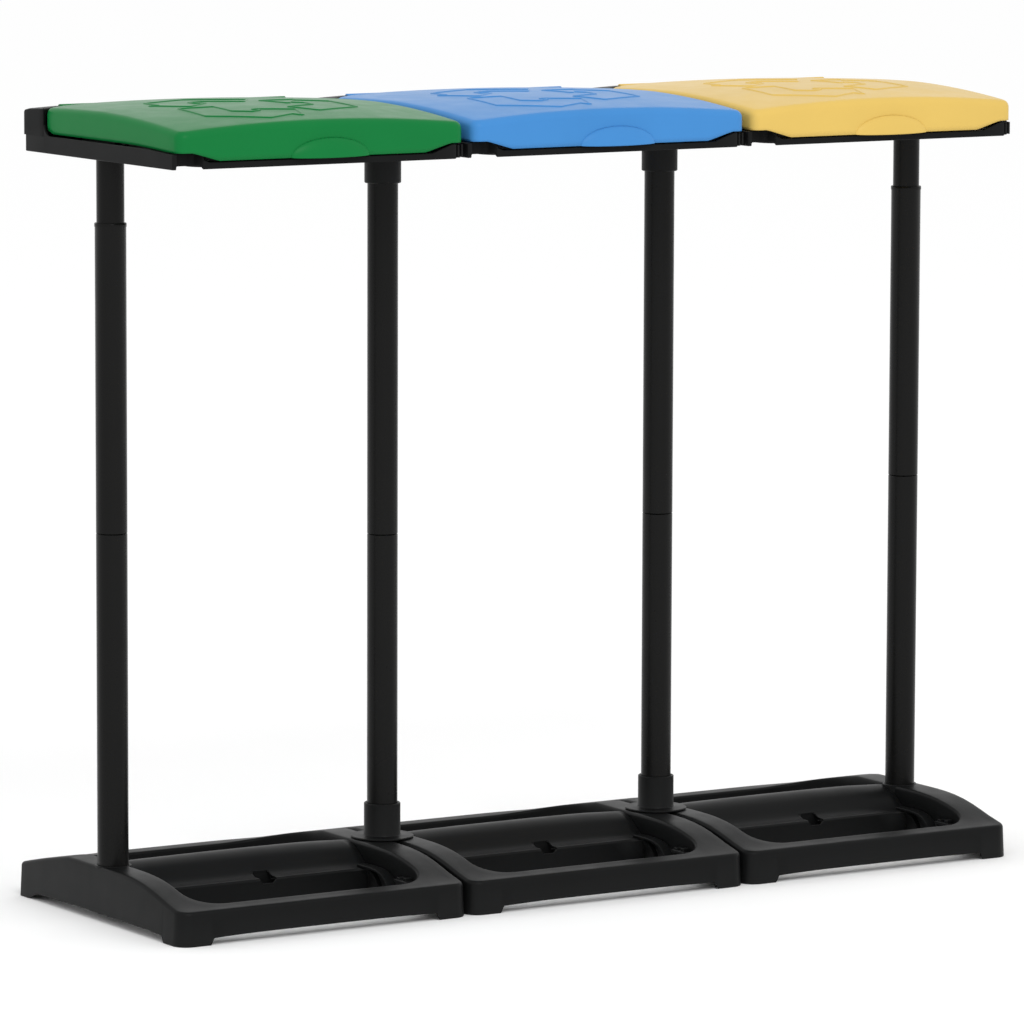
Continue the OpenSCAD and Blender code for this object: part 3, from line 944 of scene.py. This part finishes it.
def mouth_wall():
    """Upstanding collar that the bag's edge is folded over."""
    low, high, soft = RIM_Z, RING_HIGH.z - 4.0, 1.0
    levels = [(RIM_WALL - soft, low), (RIM_WALL, low + soft), (RIM_WALL, high - soft),
              (RIM_WALL - soft, high), (soft, high), (0.0, high - soft), (0.0, low + soft), (soft, low)]
    return Shape().skin([ring_at(mouth_outline(grow), z) for grow, z in levels], wraps=True)


def deck():
    """Flat plate between the outer wall and the mouth."""
    shape = Shape()
    outer, inner = inset(rim_outline(), RIM_WALL / 2), mouth_outline(RIM_WALL / 2)
    sheet = bmesh.new()
    for loop in (outer, inner):
        verts = [sheet.verts.new((p.x, p.y, 0.0)) for p in loop]
        for i, v in enumerate(verts):
            sheet.edges.new((verts[i - 1], v))
    bmesh.ops.triangle_fill(sheet, use_beauty=True, use_dissolve=False, edges=sheet.edges[:])
    sheet.verts.index_update()
    points = [tuple(v.co) for v in sheet.verts]
    for z, flip in ((DECK_Z, 1), (DECK_Z + 2.5, -1)):
        start = len(shape.points)
        shape.points += [(x, y, z) for x, y, _ in points]
        shape.faces += [tuple(start + v.index for v in f.verts)[::flip] for f in sheet.faces]
    sheet.free()
    return shape


def ear(side):
    """Hinge ear on a rear corner: flush with the lid, its rear upper edge rounded over."""
    corners = [(HALF_W, EAR_SUM - HALF_W + 0.5, 1.0), (HALF_W, EAR_REAR, RIM_REAR_R),
               (EAR_X, EAR_REAR, 2.0), (EAR_X, EAR_SUM - EAR_X - SWING_ROOM, 2.0)]
    loop = outline(corners, 6, even(5))

    round_y, round_z = 9, 7

    def top(x, y):
        back = max(0.0, (y - (EAR_REAR - round_y)) / round_y)
        return lid_top(x, y) - round_z * (1 - math.sqrt(max(0.0, 1 - min(1.0, back) ** 2)))

    rings = domed(loop, [SIDE_TOP - 1.0] * len(loop), top, lambda p: 1.8, 6, 2)
    shape = Shape().skin(rings, caps=True)
    if side < 0:
        shape.points = [(-x, y, z) for x, y, z in shape.points]
    return shape


def ear_root(side):
    """Narrower block below the ear, down to the deck."""
    x0, x1 = sorted((side * (EAR_X + 1.5), side * (HALF_W - 1.5)))
    return block((x0, EAR_SUM - EAR_X + 2, DECK_Z), (x1, RIM_REAR - 1.5, SIDE_TOP))


def corner_ribs():
    """Two small upright ribs in the notch at the front right corner."""
    ribs = Shape()
    for x, y in ((HALF_W - 12.5, RIM_FRONT + 1.5), (HALF_W - 5.0, RIM_FRONT + 6.0)):
        ribs.add(block((x, y, RIM_Z + 1.5), (x + 2.6, y + 11, SIDE_TOP - 4)))
    return ribs


def seam_socket(side):
    """Half socket at a seam for the collar's stub."""
    bore, gap = STUB_R + FIT, 4
    profile = pipe(bore + RIM_WALL, bore, RIM_Z, SOCKET_TOP)
    return lathe(profile, (side * SEAM_POST_X, POST_Y), 24, start=side * (90.0 + gap),
                 turn=180.0 - 2 * gap)


def post_socket(side):
    """Round socket for an end post's neck."""
    bore = NECK_R + FIT
    return lathe(pipe(bore + WALL, bore, RIM_Z, SOCKET_TOP), (side * END_POST_X, POST_Y))


def make_rim(side):
    """One rim frame; full tells which of its ends takes an end post's neck."""
    full = {"left": (True, False), "centre": (False, False), "right": (False, True)}[side]
    name = "rim_" + side
    look, x = MATERIALS["rim"], CENTRE_X[side]
    make(name + "_band", rim_band().moved(x), look, stands_for=[name])
    make(name + "_mouth", mouth_wall().add(deck()).moved(x), look)
    ears = Shape()
    for end, whole in zip((-1, 1), full):
        ears.add(ear(end))
        socket = post_socket(end) if whole else seam_socket(end)
        make(f"{name}_socket_{'lr'[end > 0]}", socket.moved(x), look)
    make(name + "_ears", ears.moved(x), look)
    blocks = ear_root(-1).add(ear_root(1)).add(corner_ribs())
    blocks.add(block((-EAR_X, RIM_REAR - 3, DECK_Z), (EAR_X, RIM_REAR - 1, REAR_WALL_TOP - 2)))
    make(name + "_blocks", blocks.moved(x), look, bevel=0.6)


def make_bag_ring(side):
    """Loose ring over the mouth, notched beside an end post's socket."""
    low, high = RING_LOW.z, RING_HIGH.z
    skirt, roof = RING_LIP - RIM_WALL, high - RIM_WALL
    levels = [(RING_LIP, low), (RING_LIP, high - 1.5), (RING_LIP - 0.5, high - 0.4),
              (RING_LIP - 1.5, high), (1.0, high), (0.3, high - 0.4), (0.0, high - 1.2),
              (0.0, roof), (skirt, roof), (skirt, low)]
    shape = Shape().skin([ring_at(mouth_outline(grow), z) for grow, z in levels], wraps=True)
    name = "bag_ring_" + side
    loop = make(name + "_loop", shape.moved(CENTRE_X[side]), MATERIALS["ring"],
                stands_for=[name])
    if side == "centre":
        return
    reach, end = NECK_R + WALL + 1.6, END_POST_X if side == "right" else -END_POST_X
    notch = lathe([(0.01, low - 1), (reach, low - 1), (reach, roof), (0.01, roof)],
                  (CENTRE_X[side] + end, POST_Y))
    carve(loop, notch)


def finish_pins():
    """Steel on the hinge pins, which stay as the CAD made them."""
    pin_steel = steel()
    for side in SIDES:
        pins = frame["nodes"]["hinge_pins_" + side]
        pins.data.materials.clear()
        pins.data.materials.append(pin_steel)


# ---- stage ----

AZIMUTH = 31.955
ELEVATION = 7.2045
ROLL = 0.193
LENS = 236.28
CAMERA_AT = (-4.1988, -6.7045, 1.4375)


def make_camera():
    """Camera at the photo's angle."""
    data = bpy.data.cameras.new("camera")
    data.lens = LENS
    data.sensor_width = 36.0
    data.clip_end = 200.0
    camera = bpy.data.objects.new("camera", data)
    bpy.context.scene.collection.objects.link(camera)
    turn = Matrix.Rotation(math.radians(-AZIMUTH), 4, "Z")
    tilt = Matrix.Rotation(math.radians(90 - ELEVATION), 4, "X")
    roll = Matrix.Rotation(math.radians(ROLL), 4, "Z")
    camera.matrix_world = Matrix.Translation(CAMERA_AT) @ turn @ tilt @ roll
    bpy.context.scene.camera = camera


def make_floor():
    """Wide matt floor, nearly white."""
    size = 60.0
    mesh = bpy.data.meshes.new("floor")
    mesh.from_pydata([(-size, -size, 0), (size, -size, 0), (size, size, 0), (-size, size, 0)], [],
                     [(0, 1, 2, 3)])
    floor = bpy.data.objects.new("floor", mesh)
    bpy.context.scene.collection.objects.link(floor)
    material = bpy.data.materials.new("floor_pale")
    tree, shader = nodes_of(material)
    shader.inputs["Base Color"].default_value = (0.96, 0.96, 0.96, 1.0)
    shader.inputs["Roughness"].default_value = 1.0
    shader.inputs["Specular IOR Level"].default_value = 0.0
    mesh.materials.append(material)


def area_light(name, place, target, size, power):
    """Rectangular light, size (width, height) in metres."""
    data = bpy.data.lights.new(name, "AREA")
    data.shape = "RECTANGLE"
    data.size, data.size_y = size
    data.energy = power
    light = bpy.data.objects.new(name, data)
    light.location = place
    light.rotation_euler = (Vector(target) - Vector(place)).to_track_quat("-Z", "Y").to_euler()
    bpy.context.scene.collection.objects.link(light)


def make_light():
    """White surround and a soft key high in front."""
    world = bpy.data.worlds.new("studio")
    bpy.context.scene.world = world
    world.use_nodes = True
    background = world.node_tree.nodes["Background"]
    background.inputs["Color"].default_value = (1.0, 1.0, 1.0, 1.0)
    background.inputs["Strength"].default_value = 1.03
    area_light("key", (-1.0, -4.0, 3.8), (0, 0, 0.5), (2.2, 2.2), 75.0)
    bpy.context.scene.view_settings.view_transform = "Standard"


for side in SIDES:
    make_base(side)
    make_rim(side)
    make_bag_ring(side)
    make_lid(side)
for number in (1, 2, 3, 4):
    make_post(number)
for side, number in (("left", 1), ("right", 4)):
    make_neck(side, number)
for side, number in (("left", 2), ("right", 3)):
    make_base_collar(side, number)
    make_rim_collar(side, number)
finish_pins()

make_floor()
make_light()
make_camera()
